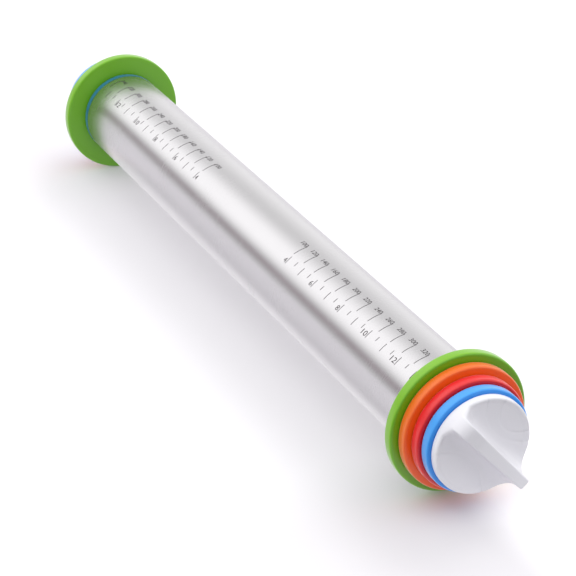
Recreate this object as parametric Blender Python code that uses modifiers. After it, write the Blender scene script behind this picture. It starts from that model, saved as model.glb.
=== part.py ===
# Adjustable rolling pin: a hollow steel barrel with stacked thickness rings at both ends.
# Metres, +Z up. X runs along the pin, and the pin lies on its two largest rings at z = 0.
# Each end is modelled once in its own frame, with z pointing outwards from the pin's middle.

import bmesh
import bpy
from math import atan2, cos, pi, radians, sin

# Barrel
BARREL_DIAMETER = 0.0428
BARREL_WALL = 0.0010
BARREL_LENGTH = 0.3465
BARREL_EDGE = 0.0002

# Gap that touching pieces keep
SEAT_GAP = 0.0003
# How far a cutter or a joined piece runs past the face it meets
OVERRUN = 0.0005

# Thickness rings: how far each stands proud of the barrel, from the barrel outwards
RING_LIFTS = {
    "10mm": 0.0095,
    "6mm": 0.0062,
    "3mm": 0.0032,
    "2mm": 0.0016,
}
RING_THICKNESS = 0.0049
RING_EDGE = 0.0010

# Knob: a round cap with a finger bar across it, and the boss that carries the rings
KNOB_INSET = 0.0001
KNOB_RIM_THICKNESS = 0.0037
KNOB_EDGE = 0.0010
GRIP_HEIGHT = 0.0102
GRIP_TOP_WIDTH = 0.0054
GRIP_BASE_WIDTH = 0.0066
GRIP_FOOT_RADIUS = 0.0026
# The bar's crest: (place along the bar, height), from its high end to its round shoulder
CREST_SHARES = (
    (-1.0, 1.0),
    (-0.70, 0.865),
    (-0.38, 0.765),
    (0.0, 0.69),
    (0.28, 0.65),
    (0.42, 0.675),
    (0.56, 0.735),
)
SHOULDER_HEIGHT_SHARE = 0.765
SHOULDER_ROUND_SHARE = 0.57
SCOOP_DEPTH = 0.0005
BOSS_DIAMETER = 0.0174
BOSS_PILOT_LENGTH = 0.0180
BOSS_END_CHAMFER = 0.0006
RIGHT_GRIP_ANGLE = radians(131.1)
LEFT_GRIP_ANGLE = radians(-41.1)

# Stud moulded into the boss, and the brass insert that it screws into
THREAD_DIAMETER = 0.0120
THREAD_PITCH = 0.0030
THREAD_DEPTH = 0.0012
THREAD_RUNOUT = 0.0015
THREAD_CREST_SHARE = 0.25
THREAD_FLANK_SHARE = 0.25
STUD_SHANK_DIAMETER = 0.0100
STUD_SHANK_LENGTH = 0.0140
INSERT_DIAMETER = 0.0160
INSERT_LENGTH = 0.0190
STUD_END_CLEARANCE = 0.0013
INSERT_GROOVE_DEPTH = 0.0005
INSERT_GROOVE_WIDTH = 0.0020

# End plug
PLUG_FLANGE_WIDTH = 0.0030
PLUG_FLANGE_EDGE = 0.0003
PLUG_WEB = 0.0040
PLUG_SKIRT_LENGTH = 0.0200
PLUG_SKIRT_CLEARANCE = 0.0006
PLUG_HUB_WALL = 0.0026
PLUG_HUB_END = 0.0020
PLUG_RIB_THICKNESS = 0.0020
PLUG_RIB_COUNT = 6
PILOT_END_GAP = 0.0006

# Seal between plug and barrel
SEAL_CORD = 0.0020
SEAL_GROOVE_SETBACK = 0.0030
SEAL_GROOVE_FLOOR = 0.0015

# Facets round each turned piece
ROUND_STEPS = 48
SMALL_STEPS = 24
SEAL_CORD_STEPS = 6
THREAD_STEPS = 16
THREAD_ROWS_PER_TURN = 4
ARC_STEPS = 2
SHOULDER_STEPS = 5

MERGE_DISTANCE = 0.000001

# Sizes that follow from those above
BARREL_RADIUS = BARREL_DIAMETER / 2
BORE_RADIUS = BARREL_RADIUS - BARREL_WALL
TUBE_END = BARREL_LENGTH / 2
FLANGE_BACK = TUBE_END + SEAT_GAP
PLUG_FACE = FLANGE_BACK + PLUG_FLANGE_WIDTH
RING_PITCH = RING_THICKNESS + SEAT_GAP
FIRST_RING = PLUG_FACE + SEAT_GAP
BOSS_RADIUS = BOSS_DIAMETER / 2
RING_HOLE_RADIUS = BOSS_RADIUS + SEAT_GAP
KNOB_BACK = FIRST_RING + RING_PITCH * len(RING_LIFTS)
KNOB_RIM = KNOB_BACK + KNOB_RIM_THICKNESS
KNOB_CREST = KNOB_RIM + GRIP_HEIGHT
# The cap is no wider than the barrel, so it never touches the dough
KNOB_RADIUS = BARREL_RADIUS - KNOB_INSET
BOSS_END = PLUG_FACE - BOSS_PILOT_LENGTH
# With rings taken off, the knob screws this much further in to clamp the rest
CLAMP_TRAVEL = KNOB_BACK - FIRST_RING
PILOT_FLOOR = BOSS_END - CLAMP_TRAVEL - PILOT_END_GAP
THREAD_RADIUS = THREAD_DIAMETER / 2
INSERT_RADIUS = INSERT_DIAMETER / 2
INSERT_BACK = PILOT_FLOOR - INSERT_LENGTH
THREAD_TOP = BOSS_END - SEAT_GAP
THREAD_END = INSERT_BACK + STUD_END_CLEARANCE
STUD_BORE_FLOOR = THREAD_END - CLAMP_TRAVEL - STUD_END_CLEARANCE
LARGEST_RING_RADIUS = BARREL_RADIUS + max(RING_LIFTS.values())
# A flat of the largest ring lies on the table
AXIS_HEIGHT = LARGEST_RING_RADIUS * cos(pi / ROUND_STEPS)


def clear_scene():
    for obj in list(bpy.data.objects):
        bpy.data.objects.remove(obj, do_unlink=True)


def new_collection(name):
    group = bpy.data.collections.new(name)
    bpy.context.scene.collection.children.link(group)
    return group


def material(name, colour, roughness, metallic=0.0):
    finish = bpy.data.materials.new(name)
    finish.use_nodes = True
    shader = finish.node_tree.nodes["Principled BSDF"]
    shader.inputs["Base Color"].default_value = (*colour, 1.0)
    shader.inputs["Roughness"].default_value = roughness
    shader.inputs["Metallic"].default_value = metallic
    return finish


def brushed_steel():
    return material("brushed_stainless_steel", (0.62, 0.61, 0.62), 0.32, 1.0)


def turned_steel():
    return material("turned_steel", (0.55, 0.55, 0.56), 0.3, 1.0)


def turned_brass():
    return material("turned_brass", (0.72, 0.52, 0.22), 0.3, 1.0)


def blue_plug_plastic():
    return material("moulded_blue_polypropylene", (0.03, 0.26, 0.72), 0.4)


def white_knob_plastic():
    return material("moulded_white_abs", (0.86, 0.86, 0.89), 0.35)


def seal_rubber():
    return material("nitrile_rubber", (0.02, 0.02, 0.02), 0.6)


def ring_plastics():
    colours = {
        "10mm": (0.22, 0.62, 0.05),
        "6mm": (0.95, 0.24, 0.02),
        "3mm": (0.86, 0.03, 0.03),
        "2mm": (0.06, 0.42, 0.95),
    }
    return {size: material("moulded_ring_" + size, rgb, 0.45) for size, rgb in colours.items()}


def arc(centre_r, centre_z, radius, start, end, steps=ARC_STEPS):
    # Points (r, z) on an arc, from one angle to the other, ends included
    angles = [start + (end - start) * i / steps for i in range(steps + 1)]
    return [(centre_r + radius * cos(a), centre_z + radius * sin(a)) for a in angles]


def turned(name, profile, finish, steps, group, closed=False):
    # Turns a profile of (r, z) points about z. The profile runs down its outer side.
    mesh = bpy.data.meshes.new(name)
    points = [(r, 0.0, z) for r, z in profile]
    edges = [(i, i + 1) for i in range(len(points) - 1)]
    if closed:
        edges.append((len(points) - 1, 0))
    mesh.from_pydata(points, edges, [])
    if finish:
        mesh.materials.append(finish)
    obj = bpy.data.objects.new(name, mesh)
    group.objects.link(obj)
    screw = obj.modifiers.new("turn", "SCREW")
    screw.axis = "Z"
    screw.steps = steps
    screw.render_steps = steps
    screw.use_merge_vertices = True
    screw.merge_threshold = MERGE_DISTANCE
    screw.use_smooth_shade = True
    return obj


def prism(name, outline, length, group):
    # A bar of the given (x, z) outline, centred on y = 0
    mesh = bpy.data.meshes.new(name)
    shape = bmesh.new()
    corners = [shape.verts.new((x, -length / 2, z)) for x, z in outline]
    face = shape.faces.new(corners)
    swept = bmesh.ops.extrude_face_region(shape, geom=[face])
    moved = [item for item in swept["geom"] if isinstance(item, bmesh.types.BMVert)]
    bmesh.ops.translate(shape, verts=moved, vec=(0.0, length, 0.0))
    bmesh.ops.recalc_face_normals(shape, faces=shape.faces)
    shape.to_mesh(mesh)
    shape.free()
    obj = bpy.data.objects.new(name, mesh)
    group.objects.link(obj)
    return obj


def as_cutter(obj):
    obj.hide_render = True
    obj.display_type = "WIRE"
    return obj


def add_boolean(obj, other, operation):
    step = obj.modifiers.new(other.name, "BOOLEAN")
    step.operation = operation
    step.solver = "EXACT"
    step.object = other


def hang_on(parent, obj, height=0.0, turn=0.0):
    # Places an object on an end's axis, height out from the middle of the pin
    obj.parent = parent
    obj.location = (0.0, 0.0, height)
    obj.rotation_euler = (0.0, 0.0, turn)
    return obj


def end_frame(name, outward, group):
    # An empty on the pin's axis whose z points out of the right (+1) or left (-1) end
    frame = bpy.data.objects.new(name, None)
    group.objects.link(frame)
    frame.location = (0.0, 0.0, AXIS_HEIGHT)
    frame.rotation_euler = (0.0, outward * pi / 2, 0.0)
    return frame


def build_barrel(finish, group):
    # The tube, turned about the pin's axis, with its cut edges lightly broken
    outer = [
        (BARREL_RADIUS - BARREL_EDGE, TUBE_END),
        (BARREL_RADIUS, TUBE_END - BARREL_EDGE),
        (BARREL_RADIUS, -TUBE_END + BARREL_EDGE),
        (BARREL_RADIUS - BARREL_EDGE, -TUBE_END),
    ]
    inner = [(BORE_RADIUS, -TUBE_END), (BORE_RADIUS, TUBE_END)]
    return turned("barrel_tube", outer + inner, finish, ROUND_STEPS, group, closed=True)


def build_ring(name, lift, finish, group):
    # A flat ring with a rounded rim, from z = 0 outwards
    radius = BARREL_RADIUS + lift
    top = [(RING_HOLE_RADIUS, RING_THICKNESS)]
    top += arc(radius - RING_EDGE, RING_THICKNESS - RING_EDGE, RING_EDGE, pi / 2, 0.0)
    bottom = arc(radius - RING_EDGE, RING_EDGE, RING_EDGE, 0.0, -pi / 2)
    bottom += [(RING_HOLE_RADIUS, 0.0)]
    return turned(name, top + bottom, finish, ROUND_STEPS, group, closed=True)


def plug_ribs(side, parent, inner, outer, bottom, top, group):
    # Straight ribs through the hub's wall and the skirt's wall, as one set of bars
    ribs = []
    for i in range(PLUG_RIB_COUNT):
        half = PLUG_RIB_THICKNESS / 2
        outline = [(-half, bottom), (half, bottom), (half, top), (-half, top)]
        rib = prism(side + "_rib_" + str(i), outline, outer - inner, group)
        angle = 2 * pi * i / PLUG_RIB_COUNT
        rib.parent = parent
        middle = (inner + outer) / 2
        rib.location = (-middle * sin(angle), middle * cos(angle), 0.0)
        rib.rotation_euler = (0.0, 0.0, angle)
        ribs.append(as_cutter(rib))
    return ribs


def build_plug(side, parent, finish, group, cutters):
    # A cup that fills the barrel's end: flange, skirt with a seal groove, and a long hub.
    # The hub is bored for the boss, the insert and, behind that, the stud's further travel.
    pilot_radius = BOSS_RADIUS + SEAT_GAP
    socket_radius = INSERT_RADIUS + SEAT_GAP
    hub_radius = pilot_radius + PLUG_HUB_WALL
    skirt_radius = BORE_RADIUS - PLUG_SKIRT_CLEARANCE
    groove_radius = BORE_RADIUS - SEAT_GAP - SEAL_CORD - SEAT_GAP
    skirt_inner = groove_radius - SEAL_GROOVE_FLOOR
    groove_top = FLANGE_BACK - SEAL_GROOVE_SETBACK
    groove_bottom = groove_top - SEAL_CORD - 2 * SEAT_GAP
    skirt_end = FLANGE_BACK - PLUG_SKIRT_LENGTH
    web_back = PLUG_FACE - PLUG_WEB
    socket_floor = INSERT_BACK - SEAT_GAP
    stud_bore = THREAD_RADIUS + SEAT_GAP
    hub_end = STUD_BORE_FLOOR - PLUG_HUB_END
    profile = [
        (0.0, STUD_BORE_FLOOR),
        (stud_bore, STUD_BORE_FLOOR),
        (stud_bore, socket_floor),
        (socket_radius, socket_floor),
        (socket_radius, PILOT_FLOOR),
        (pilot_radius, PILOT_FLOOR),
        (pilot_radius, PLUG_FACE),
        (BARREL_RADIUS - PLUG_FLANGE_EDGE, PLUG_FACE),
        (BARREL_RADIUS, PLUG_FACE - PLUG_FLANGE_EDGE),
        (BARREL_RADIUS, FLANGE_BACK),
        (skirt_radius, FLANGE_BACK),
        (skirt_radius, groove_top),
        (groove_radius, groove_top),
        (groove_radius, groove_bottom),
        (skirt_radius, groove_bottom),
        (skirt_radius, skirt_end),
        (skirt_inner, skirt_end),
        (skirt_inner, web_back),
        (hub_radius, web_back),
        (hub_radius, hub_end),
        (0.0, hub_end),
    ]
    plug = turned(side + "_end_plug", profile, finish, ROUND_STEPS, group)
    hang_on(parent, plug)
    rib_inner = hub_radius - OVERRUN
    rib_outer = skirt_inner + OVERRUN
    rib_bottom = skirt_end + OVERRUN
    rib_top = web_back + OVERRUN
    for rib in plug_ribs(side, parent, rib_inner, rib_outer, rib_bottom, rib_top, cutters):
        add_boolean(plug, rib, "UNION")
    return plug


def build_seal(side, parent, finish, group):
    # The O-ring in the plug's groove
    middle_radius = BORE_RADIUS - SEAT_GAP - SEAL_CORD / 2
    height = FLANGE_BACK - SEAL_GROOVE_SETBACK - SEAT_GAP - SEAL_CORD / 2
    bpy.ops.mesh.primitive_torus_add(
        major_segments=ROUND_STEPS,
        minor_segments=SEAL_CORD_STEPS,
        major_radius=middle_radius,
        minor_radius=SEAL_CORD / 2,
    )
    seal = bpy.context.object
    seal.name = side + "_plug_seal"
    for owner in list(seal.users_collection):
        owner.objects.unlink(seal)
    group.objects.link(seal)
    seal.data.materials.append(finish)
    seal.data.shade_smooth()
    return hang_on(parent, seal, height)


def build_insert(side, parent, finish, group):
    # The brass bush in the plug's hub, with two grooves that key it in the plastic
    bore = THREAD_RADIUS + SEAT_GAP
    waist = INSERT_RADIUS - INSERT_GROOVE_DEPTH
    land = (INSERT_LENGTH - 2 * INSERT_GROOVE_WIDTH) / 3
    outer = [(INSERT_RADIUS, INSERT_LENGTH)]
    for i in range(2):
        top = INSERT_LENGTH - land - i * (land + INSERT_GROOVE_WIDTH)
        outer += [(INSERT_RADIUS, top), (waist, top)]
        outer += [(waist, top - INSERT_GROOVE_WIDTH), (INSERT_RADIUS, top - INSERT_GROOVE_WIDTH)]
    outer += [(INSERT_RADIUS, 0.0)]
    profile = outer + [(bore, 0.0), (bore, INSERT_LENGTH)]
    insert = turned(side + "_threaded_insert", profile, finish, SMALL_STEPS, group, closed=True)
    return hang_on(parent, insert, INSERT_BACK)


def thread_radius(z, angle):
    # Radius of a right-hand trapezoidal thread that runs out at both of its ends
    turns = z / THREAD_PITCH - angle / (2 * pi)
    from_crest = abs(turns - round(turns))
    down_flank = (from_crest - THREAD_CREST_SHARE / 2) / THREAD_FLANK_SHARE
    tooth = 1.0 - min(1.0, max(0.0, down_flank))
    runout = min(1.0, (z - THREAD_END) / THREAD_RUNOUT, (THREAD_TOP - z) / THREAD_RUNOUT)
    return THREAD_RADIUS - THREAD_DEPTH * (1.0 - tooth * max(0.0, runout))


def build_stud(side, parent, finish, group):
    # A steel stud: a plain shank that the boss grips, then the thread, end downwards
    length = THREAD_TOP - THREAD_END
    rows = round(length / THREAD_PITCH * THREAD_ROWS_PER_TURN)
    shank = STUD_SHANK_DIAMETER / 2
    shank_top = BOSS_END + STUD_SHANK_LENGTH
    heights = [THREAD_TOP - length * i / rows for i in range(rows + 1)]
    profile = [(0.0, shank_top), (shank, shank_top), (shank, THREAD_TOP)]
    profile += [(THREAD_RADIUS, z) for z in heights] + [(0.0, THREAD_END)]
    shape = bmesh.new()
    points = [shape.verts.new((r, 0.0, z)) for r, z in profile]
    edges = [shape.edges.new(pair) for pair in zip(points, points[1:])]
    bmesh.ops.spin(
        shape,
        geom=points + edges,
        cent=(0.0, 0.0, 0.0),
        axis=(0.0, 0.0, 1.0),
        angle=2 * pi,
        steps=THREAD_STEPS,
        use_merge=True,
    )
    bmesh.ops.remove_doubles(shape, verts=shape.verts, dist=MERGE_DISTANCE)
    for vert in shape.verts:
        radius = vert.co.xy.length
        if radius > shank + MERGE_DISTANCE:
            angle = atan2(vert.co.y, vert.co.x)
            vert.co.xy *= thread_radius(vert.co.z, angle) / radius
    bmesh.ops.recalc_face_normals(shape, faces=shape.faces)
    mesh = bpy.data.meshes.new(side + "_threaded_stud")
    shape.to_mesh(mesh)
    shape.free()
    mesh.materials.append(finish)
    mesh.shade_smooth()
    stud = bpy.data.objects.new(mesh.name, mesh)
    group.objects.link(stud)
    return hang_on(parent, stud)


def scoop_tool(side, group):
    # What is cut away beside the finger bar: all above the cap's rounded, dished face
    above = KNOB_CREST + OVERRUN
    beyond = KNOB_RADIUS + OVERRUN
    edge_middle = KNOB_EDGE * (1.0 - cos(pi / 4))
    profile = [
        (0.0, above),
        (beyond, above),
        (beyond, KNOB_RIM - KNOB_EDGE - OVERRUN),
        (KNOB_RADIUS - edge_middle, KNOB_RIM - edge_middle),
        (KNOB_RADIUS - KNOB_EDGE, KNOB_RIM),
        (0.0, KNOB_RIM - SCOOP_DEPTH),
    ]
    return as_cutter(turned(side + "_scoops", profile, None, ROUND_STEPS, group))


def crest_tool(side, group):
    # What is cut away above the finger bar, which is high at one end for the thumb, dips
    # past its middle and rolls over at its other end
    above = KNOB_CREST + OVERRUN
    beyond = KNOB_RADIUS + OVERRUN
    round_radius = SHOULDER_ROUND_SHARE * GRIP_HEIGHT
    shoulder = KNOB_RIM + SHOULDER_HEIGHT_SHARE * GRIP_HEIGHT
    crest = [(along * KNOB_RADIUS, KNOB_RIM + height * GRIP_HEIGHT) for along, height in CREST_SHARES]
    crest += arc(KNOB_RADIUS - round_radius, shoulder - round_radius, round_radius, pi / 2, 0.0, SHOULDER_STEPS)
    outline = [(beyond, above), (-beyond, above), (-beyond, KNOB_CREST)] + crest
    outline.append((beyond, shoulder - round_radius))
    return as_cutter(prism(side + "_crest", outline, 2 * beyond, group))


def grip_outline():
    # Section of the finger bar: drafted flanks and rounded feet
    top = GRIP_TOP_WIDTH / 2
    base = GRIP_BASE_WIDTH / 2
    floor = KNOB_RIM - SCOOP_DEPTH
    half = [(top, KNOB_CREST + OVERRUN)]
    half += arc(base + GRIP_FOOT_RADIUS, floor + GRIP_FOOT_RADIUS, GRIP_FOOT_RADIUS, pi, 3 * pi / 2)
    half += [(base + GRIP_FOOT_RADIUS, floor - KNOB_EDGE)]
    return half + [(-x, z) for x, z in reversed(half)]


def build_knob(side, parent, grip_angle, finish, group, cutters):
    # The screw knob: cap, finger bar between two scoops, and the boss behind the cap
    bore = STUD_SHANK_DIAMETER / 2 + SEAT_GAP
    bore_top = BOSS_END + STUD_SHANK_LENGTH + SEAT_GAP
    crest_edge = KNOB_RADIUS - KNOB_EDGE
    profile = [(0.0, KNOB_CREST)] + arc(crest_edge, KNOB_CREST - KNOB_EDGE, KNOB_EDGE, pi / 2, 0.0)
    profile += [
        (KNOB_RADIUS, KNOB_BACK + KNOB_EDGE / 2),
        (KNOB_RADIUS - KNOB_EDGE / 2, KNOB_BACK),
        (BOSS_RADIUS, KNOB_BACK),
        (BOSS_RADIUS, BOSS_END + BOSS_END_CHAMFER),
        (BOSS_RADIUS - BOSS_END_CHAMFER, BOSS_END),
        (bore, BOSS_END),
        (bore, bore_top),
        (0.0, bore_top),
    ]
    knob = turned(side + "_knob", profile, finish, ROUND_STEPS, group)
    hang_on(parent, knob, turn=grip_angle)
    tool = hang_on(parent, scoop_tool(side, cutters), turn=grip_angle)
    bar_length = 2 * (KNOB_RADIUS + 2 * OVERRUN)
    bar = as_cutter(prism(side + "_finger_bar", grip_outline(), bar_length, cutters))
    hang_on(parent, bar, turn=grip_angle)
    crest = hang_on(parent, crest_tool(side, cutters), turn=grip_angle + pi / 2)
    add_boolean(tool, bar, "DIFFERENCE")
    add_boolean(knob, tool, "DIFFERENCE")
    add_boolean(knob, crest, "DIFFERENCE")
    return knob


def build_end(side, outward, grip_angle, finishes, rings, parts, cutters):
    frame = end_frame(side + "_end", outward, parts)
    build_plug(side, frame, finishes["plug"], parts, cutters)
    build_seal(side, frame, finishes["seal"], parts)
    build_insert(side, frame, finishes["brass"], parts)
    for i, (size, lift) in enumerate(RING_LIFTS.items()):
        ring = build_ring(side + "_ring_" + size, lift, rings[size], parts)
        hang_on(frame, ring, FIRST_RING + RING_PITCH * i, pi / ROUND_STEPS)
    build_knob(side, frame, grip_angle, finishes["knob"], parts, cutters)
    build_stud(side, frame, finishes["stud"], parts)


def build():
    clear_scene()
    parts = new_collection("adjustable_rolling_pin")
    cutters = new_collection("cutters")
    barrel = build_barrel(brushed_steel(), parts)
    pin_axis = end_frame("pin_axis", 1, parts)
    hang_on(pin_axis, barrel)
    finishes = {
        "plug": blue_plug_plastic(),
        "seal": seal_rubber(),
        "brass": turned_brass(),
        "knob": white_knob_plastic(),
        "stud": turned_steel(),
    }
    rings = ring_plastics()
    build_end("right", 1, RIGHT_GRIP_ANGLE, finishes, rings, parts, cutters)
    build_end("left", -1, LEFT_GRIP_ANGLE, finishes, rings, parts, cutters)


build()
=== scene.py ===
# %% [markdown]
# # An adjustable rolling pin
#
# A steel tube rolls the dough. At each end a stack of coloured rings stands proud of it, so the
# largest ring left on the pin sets how thick the dough is. A white screw knob holds each stack.
# This lesson dresses the measured model of the pin: finer round surfaces, the etched scales, the
# moulded knobs, real materials, and soft studio light. Each piece is placed by the measured model,
# so nothing has to be fitted by eye, and it moves with the body that it rides on.

# %% Load the measured model
import math

import bmesh
import bpy
from mathutils import Matrix, Vector


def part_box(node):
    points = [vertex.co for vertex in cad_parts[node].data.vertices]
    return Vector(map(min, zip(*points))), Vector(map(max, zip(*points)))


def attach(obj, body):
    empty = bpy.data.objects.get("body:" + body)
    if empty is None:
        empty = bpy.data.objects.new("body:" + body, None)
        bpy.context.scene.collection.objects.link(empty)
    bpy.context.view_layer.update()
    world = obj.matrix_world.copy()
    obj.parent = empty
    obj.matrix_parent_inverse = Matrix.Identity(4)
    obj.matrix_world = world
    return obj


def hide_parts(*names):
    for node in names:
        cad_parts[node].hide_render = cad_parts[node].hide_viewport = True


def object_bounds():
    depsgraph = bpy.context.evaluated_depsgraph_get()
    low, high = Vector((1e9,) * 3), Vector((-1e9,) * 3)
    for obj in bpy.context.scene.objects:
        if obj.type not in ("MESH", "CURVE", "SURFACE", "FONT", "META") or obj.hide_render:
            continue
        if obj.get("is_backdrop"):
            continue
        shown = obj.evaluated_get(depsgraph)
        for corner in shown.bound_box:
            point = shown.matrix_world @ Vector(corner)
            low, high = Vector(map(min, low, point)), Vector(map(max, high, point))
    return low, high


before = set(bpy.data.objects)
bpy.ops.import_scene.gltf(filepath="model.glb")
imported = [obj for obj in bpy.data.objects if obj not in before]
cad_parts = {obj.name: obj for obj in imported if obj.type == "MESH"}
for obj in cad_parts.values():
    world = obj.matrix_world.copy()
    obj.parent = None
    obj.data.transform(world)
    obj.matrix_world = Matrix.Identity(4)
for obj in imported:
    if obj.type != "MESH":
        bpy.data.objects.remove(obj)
cad_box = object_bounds()

# %% [markdown]
# ## The sizes everything shares
#
# All lengths are in metres, written as millimetres times MM. The pin lies along X, with its axis
# one largest-ring radius above the table. The height of the axis and the ends of the barrel are
# read from the measured model, because typed copies would drift apart from it.

# %% Shared sizes
MM = 0.001
AXIS_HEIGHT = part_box("right_ring_10mm")[1].z / 2
BARREL_RADIUS = 21.4 * MM
BORE_RADIUS = 20.4 * MM
BARREL_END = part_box("barrel_tube")[1].x
SIDES = (("right", 1), ("left", -1))
print("axis height %.2f mm, barrel ends at %.2f mm" % (AXIS_HEIGHT / MM, BARREL_END / MM))

# %% [markdown]
# ## Turned pieces
#
# The tube and the rings are bodies of revolution. An outline in (along the pin, radius) is carried
# round the axis in many small steps. A Screw modifier could turn it too; a loop of points is as
# short and leaves one plain mesh. Real edges are never sharp: a ring's moulded edge has a radius of
# about a millimetre, and that small round catches the bright line that makes it look moulded.

# %% Round the corners of an outline
FILLET_STEPS = 6


def fillet(before, corner, after, radius):
    """Points of an arc of that radius between two straight sides that meet at a right angle."""
    a = (Vector(before) - Vector(corner)).normalized()
    b = (Vector(after) - Vector(corner)).normalized()
    centre = Vector(corner) + (a + b) * radius
    points = []
    for i in range(FILLET_STEPS + 1):
        t = math.pi / 2 * i / FILLET_STEPS
        points.append(centre - b * radius * math.cos(t) - a * radius * math.sin(t))
    return points


def rounded_outline(corners):
    """corners: (along, radius, edge radius) round a closed outline. With no edge radius a point
    stays as it is, and the others are right angles."""
    points = []
    for i, (along, radius, edge) in enumerate(corners):
        before = corners[i - 1][:2]
        after = corners[(i + 1) % len(corners)][:2]
        if edge:
            points += fillet(before, (along, radius), after, edge)
        else:
            points.append(Vector((along, radius)))
    return points


square = rounded_outline([(0, 0, MM), (5 * MM, 0, MM), (5 * MM, 5 * MM, MM), (0, 5 * MM, MM)])
print("a square with four round corners has", len(square), "points")

# %% Make one smooth piece
SHARP_ANGLE = math.radians(35)


def link(obj):
    """Puts an object in the scene."""
    bpy.context.scene.collection.objects.link(obj)
    return obj


def shade_round(mesh, sharp=SHARP_ANGLE):
    """Smooth shading, but crisp along edges that bend more than the sharp angle."""
    mesh.shade_smooth()
    mesh.set_sharp_from_angle(angle=sharp)


def solid(name, points, faces, sharp=SHARP_ANGLE):
    """One mesh piece from points and faces, facing out, smooth but for its real edges."""
    mesh = bpy.data.meshes.new(name)
    mesh.from_pydata([tuple(p) for p in points], [], faces)
    bm = bmesh.new()
    bm.from_mesh(mesh)
    bmesh.ops.recalc_face_normals(bm, faces=bm.faces)
    bm.to_mesh(mesh)
    bm.free()
    shade_round(mesh, sharp)
    return link(bpy.data.objects.new(name, mesh))


# %% Turn an outline round the pin's axis
def turned(name, outline, steps):
    """A closed body of revolution round the pin's axis."""
    count = len(outline)
    points = []
    for k in range(steps):
        turn = 2 * math.pi * k / steps
        for along, radius in outline:
            points.append((along, radius * math.cos(turn), AXIS_HEIGHT + radius * math.sin(turn)))
    faces = []
    for k in range(steps):
        here, there = k * count, (k + 1) % steps * count
        for i in range(count):
            j = (i + 1) % count
            faces.append((here + i, here + j, there + j, there + i))
    return solid(name, points, faces)


# %% [markdown]
# ## Materials
#
# Each material starts from its colour, roughness and metal or plastic gloss. What makes it look
# real is added with nodes after that: brush lines on the steel, the fine tooth of a spark-eroded
# mould on the plastics. Pictures wrapped round the pieces could do this too. Nodes are used because
# they stay sharp at any distance, and their scales follow from real millimetres.

# %% Material helpers
# Blender's noise seldom leaves this range
NOISE_LOW, NOISE_HIGH = 0.3, 0.7


def linear(code):
    """A colour written as sRGB hex, as the linear values that a shader wants."""
    channels = []
    for i in (1, 3, 5):
        c = int(code[i:i + 2], 16) / 255
        channels.append(c / 12.92 if c <= 0.04045 else ((c + 0.055) / 1.055) ** 2.4)
    return (*channels, 1.0)


def material(name, colour, roughness, metallic=0.0, ior=None):
    """A material with its plain values set, and its shader. Metals keep the default IOR."""
    mat = bpy.data.materials.new(name)
    mat.use_nodes = True
    shader = mat.node_tree.nodes["Principled BSDF"]
    shader.inputs["Base Color"].default_value = linear(colour)
    shader.inputs["Roughness"].default_value = roughness
    shader.inputs["Metallic"].default_value = metallic
    if ior:
        shader.inputs["IOR"].default_value = ior
    return mat, shader


def add(mat, kind, inputs=(), **settings):
    """Adds a node, sets its fields, and sets or links its inputs."""
    node = mat.node_tree.nodes.new(kind)
    for key, value in settings.items():
        setattr(node, key, value)
    for key, value in dict(inputs).items():
        if isinstance(value, bpy.types.NodeSocket):
            mat.node_tree.links.new(value, node.inputs[key])
        else:
            node.inputs[key].default_value = value
    return node


def connect(mat, output, node, key):
    """Links an output to an input of a node that was there before."""
    mat.node_tree.links.new(output, node.inputs[key])


print("the steel's grey in linear values:", ["%.3f" % c for c in linear("#D9D7D9")])

# %% [markdown]
# ## Satin brushed steel
#
# The tube is polished on a lathe with abrasive cloth, so its scratches run round the girth. They
# smear reflections along the pin and keep them crisp round it: the lamps show as long soft bands.
# A noise that is stretched round the girth draws them, and the shader's anisotropy smears the light
# as the finest ones do. Real scratches are a few hundredths of a millimetre wide. They are drawn
# about four times coarser, as fine as the picture can show them, and they are shallow: from a step
# away the tube looks smooth. Handling leaves it a little duller in patches of about 17 mm.

# %% Barrel steel
BRUSH_LINES_PER_METRE = 7000
BRUSH_STRETCH = 60
BRUSH_DEPTH = 0.01 * MM
BRUSHED_ROUGHNESS = (0.245, 0.275)
PATCHES_PER_METRE = 60
PATCH_CHANGE = 0.015
STEEL_SMEAR = 0.6
QUARTER_TURN = 0.25

barrel_steel, shader = material("satin_brushed_stainless", "#D9D7D9", 0.27, metallic=1.0)
place = add(barrel_steel, "ShaderNodeTexCoord")
parts = add(barrel_steel, "ShaderNodeSeparateXYZ", {0: place.outputs["Object"]})
height = add(barrel_steel, "ShaderNodeMath", {0: parts.outputs["Z"], 1: AXIS_HEIGHT},
             operation="SUBTRACT")
girth = add(barrel_steel, "ShaderNodeMath", {0: height.outputs[0], 1: parts.outputs["Y"]},
            operation="ARCTAN2")
arc = add(barrel_steel, "ShaderNodeMath", {0: girth.outputs[0], 1: BARREL_RADIUS / BRUSH_STRETCH},
          operation="MULTIPLY")
unrolled = add(barrel_steel, "ShaderNodeCombineXYZ", {"X": parts.outputs["X"], "Y": arc.outputs[0]})
brush = add(barrel_steel, "ShaderNodeTexNoise",
            {"Vector": unrolled.outputs[0], "Scale": BRUSH_LINES_PER_METRE,
             "Detail": 3.0, "Roughness": 0.6})
patches = add(barrel_steel, "ShaderNodeTexNoise",
              {"Vector": place.outputs["Object"], "Scale": PATCHES_PER_METRE, "Detail": 2.0})
streak = add(barrel_steel, "ShaderNodeMapRange",
             {"Value": brush.outputs[0], "From Min": NOISE_LOW, "From Max": NOISE_HIGH,
              "To Min": BRUSHED_ROUGHNESS[0], "To Max": BRUSHED_ROUGHNESS[1]})
worn = add(barrel_steel, "ShaderNodeMapRange",
           {"Value": patches.outputs[0], "From Min": NOISE_LOW, "From Max": NOISE_HIGH,
            "To Min": -PATCH_CHANGE, "To Max": PATCH_CHANGE})
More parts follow.
